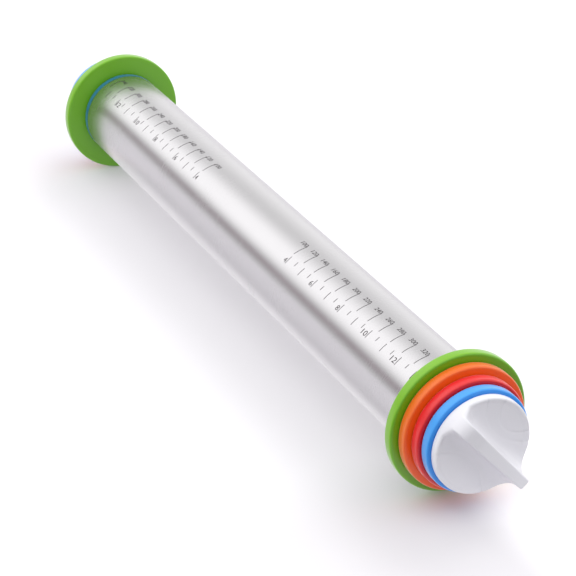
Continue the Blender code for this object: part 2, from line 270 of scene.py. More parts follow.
rough = add(barrel_steel, "ShaderNodeMath", {0: streak.outputs[0], 1: worn.outputs[0]},
            operation="ADD")
connect(barrel_steel, rough.outputs[0], shader, "Roughness")
scratch = add(barrel_steel, "ShaderNodeBump",
              {"Height": brush.outputs[0], "Strength": 0.03, "Distance": BRUSH_DEPTH})
connect(barrel_steel, scratch.outputs[0], shader, "Normal")
shader.inputs["Anisotropic"].default_value = STEEL_SMEAR
shader.inputs["Anisotropic Rotation"].default_value = QUARTER_TURN
around = add(barrel_steel, "ShaderNodeTangent", direction_type="RADIAL", axis="X")
connect(barrel_steel, around.outputs[0], shader, "Tangent")
print(barrel_steel.name, "has brush lines %.2f mm apart" % (1000 / BRUSH_LINES_PER_METRE))

# %% [markdown]
# ## The barrel
#
# A plain drawn tube with 1 mm walls. The blue plugs close its ends. Its cut ends are only deburred,
# so the edge radius is a fifth of a millimetre. A ready-made cylinder has no wall and no rounded
# rims, so the tube is turned from its section.

# %% Barrel tube
BARREL_STEPS = 192
BARREL_EDGE = 0.2 * MM

barrel = turned("barrel", rounded_outline([
    (-BARREL_END, BORE_RADIUS, BARREL_EDGE), (BARREL_END, BORE_RADIUS, BARREL_EDGE),
    (BARREL_END, BARREL_RADIUS, BARREL_EDGE), (-BARREL_END, BARREL_RADIUS, BARREL_EDGE)]), BARREL_STEPS)
barrel.data.materials.append(barrel_steel)
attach(barrel, "barrel")
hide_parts("barrel_tube")
print("barrel:", len(barrel.data.polygons), "faces")

# %% [markdown]
# ## The etched scales
#
# A laser darkens the steel's skin without cutting it. The marks count the width of the dough: two
# marks of the same number, one on each side of the middle, lie that far apart. So a mark labelled
# 200 mm stands 100 mm from the middle, and the marks for 4 inches stand 2 inches from it.
# They could be painted in the material, but small numbers come out crisper as thin pieces. The
# marks are laid out flat first, as (along the pin, up the girth), and then wrapped on.

# %% Places of the marks
# Angles go round the barrel from its right side over the top, so 90 degrees is the top
SCALE_MIDDLE = 1.17 * MM
MARK_WIDTH = 0.32 * MM
INCH = 25.4 * MM
MM_READINGS = range(100, 341, 20)
MM_TICK_TOP, MM_TICK_FOOT = math.radians(97.6), math.radians(116.5)
MM_LABEL_FOOT = math.radians(100.2)
MM_LABEL_HEIGHT = 2.2 * MM
MM_LABEL_WIDTH = 5.0 * MM
MM_LABEL_GAP = 0.35 * MM
HALF_INCH_READINGS = range(8, 27)
INCH_TICK_TOP = math.radians(120.5)
INCH_SHORT_FOOT, INCH_LONG_FOOT = math.radians(126.8), math.radians(132.0)
INCH_LABEL_FOOT = math.radians(131.5)
INCH_LABEL_HEIGHT = 2.6 * MM
INCH_DIGIT_WIDTH = 1.8 * MM
INCH_LABEL_GAP = 0.8 * MM
print("millimetre marks:", list(MM_READINGS))

# %% Bars and numbers on the flat layout
LETTER_CURVE_STEPS = 3


def letters(text, height, width):
    """Flat letters as a mesh of that height and width, with their lower left corner at zero."""
    curve = bpy.data.curves.new("letters", "FONT")
    curve.body = text
    curve.resolution_u = LETTER_CURVE_STEPS
    holder = link(bpy.data.objects.new("letters", curve))
    graph = bpy.context.evaluated_depsgraph_get()
    mesh = bpy.data.meshes.new_from_object(holder.evaluated_get(graph))
    bpy.data.objects.remove(holder)
    low = [min(v.co[i] for v in mesh.vertices) for i in (0, 1)]
    high = [max(v.co[i] for v in mesh.vertices) for i in (0, 1)]
    for v in mesh.vertices:
        v.co.x = (v.co.x - low[0]) / (high[0] - low[0]) * width
        v.co.y = (v.co.y - low[1]) / (high[1] - low[1]) * height
    return mesh


def add_bar(flat, along, top, foot):
    """One straight mark of the scale, from its top to its foot, on the flat layout."""
    corners = [(along - MARK_WIDTH / 2, foot), (along + MARK_WIDTH / 2, foot),
               (along + MARK_WIDTH / 2, top), (along - MARK_WIDTH / 2, top)]
    flat.faces.new([flat.verts.new((x, -angle * BARREL_RADIUS, 0)) for x, angle in corners])


def add_label(flat, text, height, width, near_edge, foot, side):
    """A number on the middle's side of its mark. Both halves of the scale read the same way."""
    mesh = letters(text, height, width)
    left = near_edge - width if side > 0 else near_edge
    mesh.transform(Matrix.Translation((left, -foot * BARREL_RADIUS, 0)))
    flat.from_mesh(mesh)
    bpy.data.meshes.remove(mesh)


# %% Lay the marks out flat
flat = bmesh.new()
for side in (-1, 1):
    for reading in MM_READINGS:
        along = SCALE_MIDDLE + side * reading / 2 * MM
        add_bar(flat, along, MM_TICK_TOP, MM_TICK_FOOT)
        add_label(flat, str(reading), MM_LABEL_HEIGHT, MM_LABEL_WIDTH,
                  along - side * MM_LABEL_GAP, MM_LABEL_FOOT, side)
    for halves in HALF_INCH_READINGS:
        along = SCALE_MIDDLE + side * halves / 4 * INCH
        whole = halves % 2 == 0
        add_bar(flat, along, INCH_TICK_TOP, INCH_LONG_FOOT if whole else INCH_SHORT_FOOT)
        if halves % 4 == 0:
            text = str(halves // 2)
            add_label(flat, text, INCH_LABEL_HEIGHT, INCH_DIGIT_WIDTH * len(text),
                      along - side * INCH_LABEL_GAP, INCH_LABEL_FOOT, side)
print("flat layout:", len(flat.faces), "faces")

# %% [markdown]
# The layout is cut into narrow strips before it is bent round the tube, so that each mark follows
# the steel. A Shrinkwrap modifier would lay it on too, but its long faces would cut through the
# round. A skin of a few hundredths of a millimetre then gives the marks their own dark surface.

# %% Cut the layout into strips and wrap it round the barrel
MERGE = 0.002 * MM
FIRST_CUT = math.radians(93)
STRIP = math.radians(1.4)

bmesh.ops.remove_doubles(flat, verts=flat.verts, dist=MERGE)
cuts = int((INCH_LONG_FOOT - FIRST_CUT) / STRIP)
for k in range(cuts + 1):
    bmesh.ops.bisect_plane(flat, geom=flat.verts[:] + flat.edges[:] + flat.faces[:],
                           plane_co=(0, -(FIRST_CUT + k * STRIP) * BARREL_RADIUS, 0),
                           plane_no=(0, 1, 0))
for v in flat.verts:
    angle = -v.co.y / BARREL_RADIUS
    v.co = (v.co.x, BARREL_RADIUS * math.cos(angle), AXIS_HEIGHT + BARREL_RADIUS * math.sin(angle))
bmesh.ops.recalc_face_normals(flat, faces=flat.faces)
marks_mesh = bpy.data.meshes.new("etched_scales")
flat.to_mesh(marks_mesh)
flat.free()
print("wrapped layout:", len(marks_mesh.polygons), "faces")

# %% [markdown]
# The laser leaves a dull brown-grey oxide with the grain of the steel in it, about a tenth of a
# millimetre coarse, so the marks look soft and dark, and don't shine like the steel beside them.

# %% Give the marks a skin and their dark surface
MARK_SKIN = 0.03 * MM
ETCH_GRAIN_PER_METRE = 9000


def applied(obj):
    """The piece with its modifiers made permanent."""
    graph = bpy.context.evaluated_depsgraph_get()
    mesh = bpy.data.meshes.new_from_object(obj.evaluated_get(graph))
    obj.modifiers.clear()
    obj.data = mesh
    return obj


scales = link(bpy.data.objects.new("etched_scales", marks_mesh))
skin = scales.modifiers.new("skin", "SOLIDIFY")
skin.thickness = 2 * MARK_SKIN
skin.offset = 0
applied(scales)
etched, shader = material("laser_darkened_steel", "#3E393C", 0.55, metallic=0.3)
place = add(etched, "ShaderNodeTexCoord")
grain = add(etched, "ShaderNodeTexNoise",
            {"Vector": place.outputs["Object"], "Scale": ETCH_GRAIN_PER_METRE, "Detail": 2.0})
tone = add(etched, "ShaderNodeMixRGB",
           {"Fac": grain.outputs[0], "Color1": linear("#353033"), "Color2": linear("#474144")})
connect(etched, tone.outputs[0], shader, "Base Color")
scales.data.materials.clear()
scales.data.materials.append(etched)
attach(scales, "barrel")
print("scales:", len(scales.data.polygons), "faces")

# %% [markdown]
# ## Moulded plastic
#
# Rings, plugs and knobs are injection moulded. The mould is spark-eroded, which leaves a fine tooth
# on the plastic: it isn't glossy like a toy brick, and not dull either. The tooth is real at about
# 0.1 mm, and it is drawn at 0.4 mm, as fine as the picture can show it. It also catches light that
# grazes the surface, which the shader's sheen stands for, and a thin coat stands for the smoother
# skin where the melt cooled against the mould. The colour wanders by a percent or two, as pigment
# does. The rings' faces, which look along the pin, get a deeper colour than their rims. That is
# painted shade on the faces, and it leaves the rims paler like a painted highlight. The colour is
# mixed by how far a surface looks along the pin. Two materials on one ring could do that too, but
# would leave a hard line where the edge is round.

# %% Plastic
MOULD_TOOTH_PER_METRE = 2500
TOOTH_HEIGHT = 0.02 * MM
TOOTH_ROUGHNESS = 0.03
FLOW_PER_METRE = 35
SHADED_FACE_FROM, SHADED_FACE_TO = 0.35, 0.9
SHEEN_ROUGHNESS = 0.3
COAT_ROUGHNESS = 0.25


def moulded(name, colour, darker, roughness, skin, face=None, ior=1.5):
    """Moulded plastic. skin: how strongly its tooth and coat catch light. face: the deeper colour
    of the faces that look along the pin, painted shade that leaves the rims paler."""
    mat, shader = material(name, colour, roughness, ior=ior)
    place = add(mat, "ShaderNodeTexCoord")
    flow = add(mat, "ShaderNodeTexNoise",
               {"Vector": place.outputs["Object"], "Scale": FLOW_PER_METRE, "Detail": 3.0})
    tone = add(mat, "ShaderNodeMixRGB",
               {"Fac": flow.outputs[0], "Color1": linear(darker), "Color2": linear(colour)})
    # Painted shade: faces that look along the pin get the deeper colour, and the rims stay paler as a
    # painted highlight
    if face:
        parts = add(mat, "ShaderNodeSeparateXYZ", {0: place.outputs["Normal"]})
        end_on = add(mat, "ShaderNodeMath", {0: parts.outputs["X"]}, operation="ABSOLUTE")
        share = add(mat, "ShaderNodeMapRange",
                    {"Value": end_on.outputs[0], "From Min": SHADED_FACE_FROM, "From Max": SHADED_FACE_TO})
        tone = add(mat, "ShaderNodeMixRGB",
                   {"Fac": share.outputs[0], "Color1": tone.outputs[0], "Color2": linear(face)})
    connect(mat, tone.outputs[0], shader, "Base Color")
    tooth = add(mat, "ShaderNodeTexNoise",
                {"Vector": place.outputs["Object"], "Scale": MOULD_TOOTH_PER_METRE, "Detail": 2.0})
    bump = add(mat, "ShaderNodeBump",
               {"Height": tooth.outputs[0], "Strength": 0.12, "Distance": TOOTH_HEIGHT})
    connect(mat, bump.outputs[0], shader, "Normal")
    spread = add(mat, "ShaderNodeMapRange",
                 {"Value": tooth.outputs[0], "From Min": NOISE_LOW, "From Max": NOISE_HIGH,
                  "To Min": roughness - TOOTH_ROUGHNESS, "To Max": roughness + TOOTH_ROUGHNESS})
    connect(mat, spread.outputs[0], shader, "Roughness")
    shader.inputs["Sheen Weight"].default_value = skin
    shader.inputs["Sheen Roughness"].default_value = SHEEN_ROUGHNESS
    shader.inputs["Coat Weight"].default_value = skin / 2
    shader.inputs["Coat Roughness"].default_value = COAT_ROUGHNESS
    return mat


# %% The plastics of this pin
RING_ROUGHNESS = 0.34
RING_SKIN = 0.6
# Each ring's colour name, its plain colour, a slightly darker one and its faces' colour, painted deeper as
# shade
RING_COLOURS = {
    "10mm": ("green", "#80C218", "#7ABA12", "#66AA04"),
    "6mm": ("orange", "#FA7418", "#F46E12", "#F05C06"),
    "3mm": ("red", "#F0262C", "#E82026", "#E01018"),
    "2mm": ("blue", "#44AAFF", "#3EA4F8", "#2C90EC"),
}

ring_plastics = {}
for size, (hue, colour, darker, face) in RING_COLOURS.items():
    name = hue + "_ring_plastic"
    ring_plastics[size] = moulded(name, colour, darker, RING_ROUGHNESS, RING_SKIN, face)
plug_blue = moulded("blue_plug_plastic", "#3284A8", "#2E7C9E", 0.35, 0.2)
knob_white = moulded("white_knob_plastic", "#F1F0F6", "#EEEDF4", 0.32, 0.2, ior=1.53)
print("plastics:", sorted(mat.name for mat in (*ring_plastics.values(), plug_blue, knob_white)))

# %% [markdown]
# ## The thickness rings
#
# Four rings a side, from 10 mm next to the barrel to 2 mm under the knob. Each stands proud of the
# steel by its number. Its size is sunk into the plastic, in millimetres on one face and in inches
# on the other, as the mould leaves it. The letters are cut with a Boolean, because real depth gives
# them their own shadow from every side, which a bump in the material wouldn't.

# %% Ring sizes
RING_STEPS = 144
RING_EDGE = 1.0 * MM
HOLE_RADIUS = 9.0 * MM
HOLE_EDGE = 0.5 * MM
BORDER_WIDTH = 0.25 * MM
RING_INCHES = {"10mm": '3/8"', "6mm": '1/4"', "3mm": '1/8"', "2mm": '1/16"'}
RING_MARK_RADIUS = 14.7 * MM
RING_MARK_HEIGHT = 4.4 * MM
RING_DIGIT_WIDTH = 3.0 * MM
RING_MARK_DEPTH = 0.35 * MM


def ring_outline(inner, outer, radius):
    """The ring's section, with a narrow flat border inside each round so that faces stay flat."""
    low = HOLE_RADIUS + HOLE_EDGE + BORDER_WIDTH
    high = radius - RING_EDGE - BORDER_WIDTH
    return rounded_outline([
        (inner, HOLE_RADIUS, HOLE_EDGE), (outer, HOLE_RADIUS, HOLE_EDGE), (outer, low, 0), (outer, high, 0),
        (outer, radius, RING_EDGE), (inner, radius, RING_EDGE), (inner, high, 0), (inner, low, 0)])


print("a ring's section has", len(ring_outline(0, 10 * MM, BARREL_RADIUS)), "points")

# %% Cut the sizes into the rings
def sunk_letters(text, along, out):
    """Letters of twice the mark's depth that straddle a ring's face. out is +1 or -1 along X."""
    width = RING_DIGIT_WIDTH * len(text.replace("/", ""))
    mesh = letters(text, RING_MARK_HEIGHT, width)
    mesh.transform(Matrix.Translation((-width / 2, -RING_MARK_HEIGHT / 2, 0)))
    cutter = link(bpy.data.objects.new("cutter", mesh))
    weld = cutter.modifiers.new("weld", "WELD")
    weld.merge_threshold = MERGE
    thick = cutter.modifiers.new("thick", "SOLIDIFY")
    thick.thickness = 2 * RING_MARK_DEPTH
    thick.offset = 0
    across, up, normal = Vector((0, out, 0)), Vector((0, 0, 1)), Vector((out, 0, 0))
    turn = Matrix((across, up, normal)).transposed().to_4x4()
    cutter.matrix_world = Matrix.Translation((along, 0, AXIS_HEIGHT + RING_MARK_RADIUS)) @ turn
    return cutter


def ring(side_name, side, size):
    """One ring: millimetres are sunk into the face that looks out, inches into the other one."""
    node = "%s_ring_%s" % (side_name, size)
    low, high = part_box(node)
    radius = (high.y - low.y) / 2
    piece = turned(node + "_moulded", ring_outline(low.x, high.x, radius), RING_STEPS)
    front, back = (high.x, low.x) if side > 0 else (low.x, high.x)
    for text, along, out in ((size, front, side), (RING_INCHES[size], back, -side)):
        cutter = sunk_letters(text, along, out)
        cut = piece.modifiers.new("mark", "BOOLEAN")
        cut.operation = "DIFFERENCE"
        cut.solver = "EXACT"
        cut.object = cutter
        bpy.context.view_layer.update()
        applied(piece)
        bpy.data.objects.remove(cutter)
    shade_round(piece.data)
    piece.data.materials.clear()
    piece.data.materials.append(ring_plastics[size])
    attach(piece, "%s_%s" % (side_name, size))
    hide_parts(node)
    return piece


# %% Make the eight rings
for side_name, side in SIDES:
    for size in RING_COLOURS:
        made = ring(side_name, side, size)
        print(made.name, len(made.data.polygons), "faces")

# %% [markdown]
# ## The screw knob
#
# A round cap with a straight finger bar across it, moulded in white plastic. A shallow scoop on
# each side of the bar leaves room for fingertips. The bar's crest is highest at one end, where the
# thumb pushes, dips past the middle, and rolls over the rim in a wide round at the other end.
# Its flanks are nearly upright in the middle and spread out towards both ends. It could be sculpted
# or grown from a subdivided cage. Here its front is one height over a round disc, given by the
# place across and along the bar, because each thing measured on the knob then keeps its own number.

# %% Knob sizes
# Places along the pin, from its middle
RIM_BACK = 197.65 * MM
RIM_FRONT = 201.35 * MM
BOSS_END = 158.55 * MM
STUD_BORE_TOP = 172.85 * MM
KNOB_RADIUS = 21.3 * MM
RIM_EDGE = 1.0 * MM
BACK_EDGE = 0.4 * MM
BOSS_RADIUS = 8.7 * MM
BOSS_ROUND = 0.8 * MM
BOSS_CHAMFER = 0.6 * MM
STUD_BORE_RADIUS = 5.3 * MM
print("the knob is %.1f mm across" % (2 * KNOB_RADIUS / MM))

# %% Soft steps between values
def share_of(low, high, value):
    """How far a value has come from low to high, from 0 to 1."""
    return min(max((value - low) / (high - low), 0.0), 1.0)


def smooth(low, high, value):
    """The same with a gentle start and end."""
    t = share_of(low, high, value)
    return t * t * (3 - 2 * t)


def soft_max(a, b, blend):
    """The higher of two heights, with a hollow round where they meet."""
    t = share_of(-blend, blend, a - b)
    return b * (1 - t) + a * t + blend * t * (1 - t)


# %% The crest of the bar
# From the thumb's end to the round shoulder, in millimetres: place along the bar, height over the rim
CREST = ((-21.3, 10.15), (-15.0, 8.8), (-8.0, 7.8), (0.0, 7.0), (6.0, 6.6), (9.0, 6.9), (12.0, 7.5),
         (15.5, 7.8), (21.3, 7.8))
CREST_HALF_WIDTH = 2.76 * MM
CREST_WIDENING = 0.0186
CREST_EDGE = 0.7 * MM


def crest_height(along):
    """A smooth curve through the crest's heights."""
    x = min(max(along / MM, CREST[0][0]), CREST[-1][0])
    i = max(k for k in range(len(CREST) - 1) if CREST[k][0] <= x)
    slopes = []
    for k in (i, i + 1):
        before, after = CREST[max(k - 1, 0)], CREST[min(k + 1, len(CREST) - 1)]
        slopes.append((after[1] - before[1]) / (after[0] - before[0]))
    (x0, y0), (x1, y1) = CREST[i], CREST[i + 1]
    step = x1 - x0
    t = (x - x0) / step
    height = (y0 * (1 + 2 * t) * (1 - t) ** 2 + y1 * t * t * (3 - 2 * t)
              + step * (slopes[0] * t * (1 - t) ** 2 - slopes[1] * t * t * (1 - t)))
    return height * MM


def half_width(along):
    """Half the crest's width: it widens a little towards the shoulder."""
    return CREST_HALF_WIDTH + CREST_WIDENING * along


print("crest over the middle: %.2f mm" % (crest_height(0) / MM))

# %% [markdown]
# The flanks fall away steeply at first and flatten towards the scoops, which is what a logarithm
# does. One rate and reach hold for the middle and another for the thumb's end, and the shoulder end
# falls in a straight slope. Shares that grow towards the ends blend the three.

# %% The flanks of the bar
MIDDLE_RATE, MIDDLE_REACH = 1.2 * MM, 2.2 * MM
THUMB_RATE, THUMB_REACH = 2.0 * MM, 6.2 * MM
SHOULDER_TOP, SHOULDER_FALL = 7.0 * MM, 1.4
THUMB_FROM, THUMB_TO, THUMB_POWER = -6 * MM, -21 * MM, 1.6
SHOULDER_FROM, SHOULDER_TO, SHOULDER_POWER = 13 * MM, 21.3 * MM, 2


def flank_height(beyond, along):
    """The bar's flank at a distance beyond its crest's edge. It spreads towards both ends."""
    middle = MIDDLE_RATE * math.log(MIDDLE_REACH / beyond)
    thumb_end = THUMB_RATE * math.log(THUMB_REACH / beyond)
    shoulder_end = SHOULDER_TOP - SHOULDER_FALL * beyond
    to_thumb = share_of(THUMB_FROM, THUMB_TO, along) ** THUMB_POWER
    to_shoulder = share_of(SHOULDER_FROM, SHOULDER_TO, along) ** SHOULDER_POWER
    return middle * (1 - to_thumb - to_shoulder) + thumb_end * to_thumb + shoulder_end * to_shoulder


print("flank 1 mm beyond the crest: %.2f mm" % (flank_height(1 * MM, 0) / MM))

# %% The scoops and their arcs
SCOOP_DEPTH = 0.5 * MM
SCOOP_WALL = (20.5 * MM, 18.6 * MM)
SCOOP_SLOPE = 0.06
ARC_DEPTH = 0.32 * MM
ARC_HALF_WIDTH = 0.4 * MM
# Moulded arcs where a fingertip sits: centre across and along, radius
ARCS = ((27.9 * MM, -1.1 * MM, 20.6 * MM), (-27.9 * MM, -1.1 * MM, 20.6 * MM),
        (21.6 * MM, -2.6 * MM, 10.6 * MM))


def scoop_floor(across, along):
    """The dished floor beside the bar, a little deeper towards the bar, with its fine moulded arcs."""
    from_middle = math.hypot(across, along)
    deeper = SCOOP_SLOPE * max(SCOOP_WALL[0] - from_middle, 0)
    floor = -SCOOP_DEPTH * smooth(*SCOOP_WALL, from_middle) - deeper
    for centre_across, centre_along, radius in ARCS:
        distance = math.hypot(across - centre_across, along - centre_along) - radius
        floor -= ARC_DEPTH * math.exp(-(distance / ARC_HALF_WIDTH) ** 2)
    return floor


print("scoop floor 10 mm beside the bar: %.2f mm" % (scoop_floor(10 * MM, 0) / MM))

# %% The whole front as one height
# A distance too small to see, which keeps the logarithm finite
HAIR = 1e-9
FOOT_BLEND = 0.8 * MM
THUMB_EDGE = 0.6 * MM
SHOULDER_EDGE = 5.8 * MM


def front_height(across, along):
    """Height over the rim, before the outer edge is rounded."""
    beyond = abs(across) - half_width(along)
    top = crest_height(along)
    if beyond <= -CREST_EDGE:
        return top
    if beyond <= HAIR:
        return top - CREST_EDGE + math.sqrt(max(CREST_EDGE ** 2 - (beyond + CREST_EDGE) ** 2, 0))
    bar = min(flank_height(beyond, along), top - CREST_EDGE)
    return soft_max(bar, scoop_floor(across, along), FOOT_BLEND)


def knob_height(across, along):
    """Height over the rim with the outer edge rounded: little at the thumb's end, widely at the
    shoulder."""
    at_rim = math.copysign(math.sqrt(max(KNOB_RADIUS ** 2 - across ** 2, 0)), along)
    raised = share_of(0, crest_height(at_rim), front_height(across, at_rim))
    edge = RIM_EDGE + raised * ((SHOULDER_EDGE if along > 0 else THUMB_EDGE) - RIM_EDGE)
    over = min(max(math.hypot(across, along) - (KNOB_RADIUS - edge), 0), edge)
    return front_height(across, along) - edge + math.sqrt(edge ** 2 - over ** 2)


print("front over the middle: %.2f mm" % (knob_height(0, 0) / MM))

# %% [markdown]
# The disc is covered by lines that run along the bar. An even grid would be coarse where the shape
# is fine. So the lines follow the crest, the small round of its edges and its flanks, where the
# height changes fastest, and spread over the scoops.

# %% Lines of the knob's mesh
ALONG_STEPS = 120
CREST_LINES, EDGE_LINES, FLANK_LINES, SCOOP_LINES = 3, 5, 16, 44
FLANK_CROWDING = 1.5
LINES = ([("crest", k / CREST_LINES) for k in range(CREST_LINES + 1)]
         + [("edge", k / EDGE_LINES) for k in range(1, EDGE_LINES + 1)]
         + [("flank", 1 - (1 - k / FLANK_LINES) ** FLANK_CROWDING) for k in range(1, FLANK_LINES + 1)]
         + [("scoop", k / SCOOP_LINES) for k in range(1, SCOOP_LINES + 1)])
BORDER = KNOB_RADIUS - RIM_EDGE
FOOT_HEIGHT = -0.2 * MM
WIDEST_FLANK = 12 * MM
LAST_LINE = math.radians(87.5)
HALVINGS = 34


def halve(low, high, too_far):
    """The place between two limits where too_far(place) starts to hold."""
    for _ in range(HALVINGS):
        middle = (low + high) / 2
        if too_far(middle):
            high = middle
        else:
            low = middle
    return (low + high) / 2


def line_across(line, along):
    """How far across the bar a line of the grid lies, at a place along it."""
    kind, share = line
    edge = half_width(along)
    if kind == "crest":
        return share * (edge - CREST_EDGE)
    if kind == "edge":
        return edge - CREST_EDGE * (1 - math.sin(share * math.pi / 2))
    top = crest_height(along) - CREST_EDGE
    height = top + (FOOT_HEIGHT - top) * (share if kind == "flank" else 1)
    foot = edge + halve(HAIR, WIDEST_FLANK, lambda beyond: flank_height(beyond, along) < height)
    if kind == "flank":
        return foot
    start = math.asin(foot / BORDER)
    return BORDER * math.sin(start + (LAST_LINE - start) * share)


# %% Rows of points from border to border
def grid_rows():
    """Rows of (across, along) from border to border, from the far side of the bar to the near one."""
    rows = []
    for line in LINES:
        ends = [sign * halve(0, BORDER, lambda v: math.hypot(line_across(line, sign * v), v) > BORDER)
                for sign in (-1, 1)]
        middle, reach = (ends[0] + ends[1]) / 2, (ends[1] - ends[0]) / 2
        shares = [math.sin(math.pi * (k / ALONG_STEPS - 0.5)) for k in range(ALONG_STEPS + 1)]
        places = [middle + reach * share for share in shares]
        rows.append([(line_across(line, along), along) for along in places])
    mirrored = [[(-across, along) for across, along in row] for row in reversed(rows[1:])]
    return mirrored + rows


ROWS = grid_rows()
print("the front has", len(ROWS), "rows of", len(ROWS[0]), "points")

# %% [markdown]
# From the border circle the edge is rounded over, and the side, the back, the boss and the stud's
# bore follow from the same points, loop by loop, so the knob is one closed skin. Separate pieces
# joined by a Boolean would leave a seam on the round of the rim.

# %% Knob mesh
EDGE_STEPS = 8
BAR_SIDE, SCOOP_SIDE = 3 * MM, 9 * MM
KNOB_SHARP_ANGLE = math.radians(40)
# Radius and place along the pin of each loop behind the front: side, back, boss, stud's bore
BACK_LOOPS = ((KNOB_RADIUS, RIM_BACK + BACK_EDGE), (KNOB_RADIUS - BACK_EDGE, RIM_BACK),
              (BOSS_RADIUS + BOSS_ROUND, RIM_BACK), (BOSS_RADIUS, RIM_BACK - BOSS_ROUND),
              (BOSS_RADIUS, BOSS_END + BOSS_CHAMFER), (BOSS_RADIUS - BOSS_CHAMFER, BOSS_END),
              (STUD_BORE_RADIUS, BOSS_END), (STUD_BORE_RADIUS, STUD_BORE_TOP))


def outward(across, along, radius):
    """A border point moved out to a radius: straight on at the bar's ends, radially at the scoops."""
    turn = math.atan2(along, across)
    radial = Vector((radius * math.cos(turn), radius * math.sin(turn)))
    straight = Vector((across, math.copysign(math.sqrt(max(radius ** 2 - across ** 2, 0)), along)))
    spot = straight.lerp(radial, smooth(BAR_SIDE, SCOOP_SIDE, abs(across)))
    return spot.normalized() * radius


def knob(side_name, out, along_axis):
    """out and along_axis: unit vectors of the knob's front and of its bar's shoulder end."""
    across_axis = along_axis.cross(out)
    points, faces, spots = [], [], []

    def put(across, along, distance):
        """Adds a point at a distance from the pin's middle, and gives its number."""
        centre = Vector((out.x * distance, 0, AXIS_HEIGHT))
        points.append(centre + across_axis * across + along_axis * along)
        spots.append((across, along))
        return len(points) - 1

    def put_front(across, along):
        return put(across, along, RIM_FRONT + knob_height(across, along))

    rows = [[put_front(across, along) for across, along in row] for row in ROWS]
    for a, b in zip(rows, rows[1:]):
        faces += [(a[k], b[k], b[k + 1], a[k + 1]) for k in range(ALONG_STEPS)]
    loop = ([row[-1] for row in rows] + rows[-1][-2:0:-1]
            + [row[0] for row in reversed(rows)] + rows[0][1:-1])

    def carry_on(radius, distance=None):
        """The next loop of points at a radius, joined to the last one."""
        moved = [outward(*spots[i], radius) for i in loop]
        new = [put_front(x, y) if distance is None else put(x, y, distance) for x, y in moved]
        for i in range(len(loop)):
            j = (i + 1) % len(loop)
            faces.append((loop[i], loop[j], new[j], new[i]))
        return new

    for k in range(1, EDGE_STEPS + 1):
        loop = carry_on(BORDER + RIM_EDGE * math.sin(math.pi / 2 * k / EDGE_STEPS))
    for radius, distance in BACK_LOOPS:
        loop = carry_on(radius, distance)
    faces.append(tuple(loop))
    piece = solid("%s_knob_moulded" % side_name, points, faces, KNOB_SHARP_ANGLE)
    piece.data.materials.append(knob_white)
    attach(piece, "%s_screw" % side_name)
    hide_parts("%s_knob" % side_name)
    return piece


# %% Make the two knobs
# How far each knob is screwed round, as the angle of its bar's shoulder end
BAR_TURN = {"right": math.radians(131.1), "left": math.radians(41.1)}

for side_name, side in SIDES:
    turn = BAR_TURN[side_name]
    made = knob(side_name, Vector((side, 0, 0)), Vector((0, math.cos(turn), math.sin(turn))))
    print(made.name, len(made.data.polygons), "faces")

# %% [markdown]
# ## The pieces inside
#
# The plugs, rubber seals, brass inserts and steel studs keep the shapes of the measured model,
# which are right as they are. They show only as a thin blue band at the barrel's end, and when the
# knobs are unscrewed. They still get what they are made of: moulded plastic, rubber, turned brass
# and turned steel. Rubber is matt with a faint grey bloom. Turned metal has fine rings from the
# lathe's tool, about 0.2 mm apart, so it glints in thin bands round the axis.

# %% Rubber
BLOOM_PER_METRE = 900

rubber, shader = material("nitrile_rubber", "#1C1C1D", 0.72, ior=1.52)
place = add(rubber, "ShaderNodeTexCoord")
bloom = add(rubber, "ShaderNodeTexNoise",
            {"Vector": place.outputs["Object"], "Scale": BLOOM_PER_METRE, "Detail": 3.0})
tone = add(rubber, "ShaderNodeMixRGB",
           {"Fac": bloom.outputs[0], "Color1": linear("#161617"), "Color2": linear("#262628")})
connect(rubber, tone.outputs[0], shader, "Base Color")
print(rubber.name, "has a bloom about %.1f mm coarse" % (1000 / BLOOM_PER_METRE))

# %% Turned metals
TOOL_RINGS_PER_METRE = 5000
TOOL_RING_DEPTH = 0.02 * MM
TURNED_ROUGHNESS = 0.3


def turned_metal(name, colour, darker):
    """Metal from a lathe, with the tool's fine rings round the axis."""
    mat, shader = material(name, colour, TURNED_ROUGHNESS, metallic=1.0)
    place = add(mat, "ShaderNodeTexCoord")
    parts = add(mat, "ShaderNodeSeparateXYZ", {0: place.outputs["Object"]})
    feed = add(mat, "ShaderNodeTexNoise",
               {"W": parts.outputs["X"], "Scale": TOOL_RINGS_PER_METRE}, noise_dimensions="1D")
    tone = add(mat, "ShaderNodeMixRGB",
               {"Fac": feed.outputs[0], "Color1": linear(darker), "Color2": linear(colour)})
    connect(mat, tone.outputs[0], shader, "Base Color")
    bump = add(mat, "ShaderNodeBump",
               {"Height": feed.outputs[0], "Strength": 0.2, "Distance": TOOL_RING_DEPTH})
    connect(mat, bump.outputs[0], shader, "Normal")
    return mat


inner_finishes = {
    "end_plug": plug_blue,
    "plug_seal": rubber,
    "threaded_insert": turned_metal("turned_brass", "#DDB86A", "#CFA858"),
    "threaded_stud": turned_metal("turned_steel", "#C4C4C6", "#B4B4B6"),
}
for side_name, _ in SIDES:
    for node, mat in inner_finishes.items():
        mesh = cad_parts["%s_%s" % (side_name, node)].data
        for slot in range(len(mesh.materials)):
            mesh.materials[slot] = mat
        print(side_name, node, "is", mat.name)

# %% [markdown]
# ## The table
#
# The pin lies on white paper that runs on past the picture's edges. The tent lights the pin as it
# should be, and under that light the paper beside it would come out greyer than a studio's, whose
# paper is lit by lamps of its own. More light would also fall on the pin. So the paper gets a faint
# glow instead, which Light Path gives only to the camera's rays and to mirrored ones. The glow is
# uneven, so it is painted light: it pales the pin's shadow on the paper, and in the steel it is a
# painted reflection that lightens the tube's lower side. The paper stays matt. For all rays but the
# camera's it grows darker in front of the near end, a patch hidden from the camera that is painted
# shade, so less light comes up to the rings' faces.

# %% Table surface
TABLE_SIZE = 6.0
TONE_PATCHES = 4.0

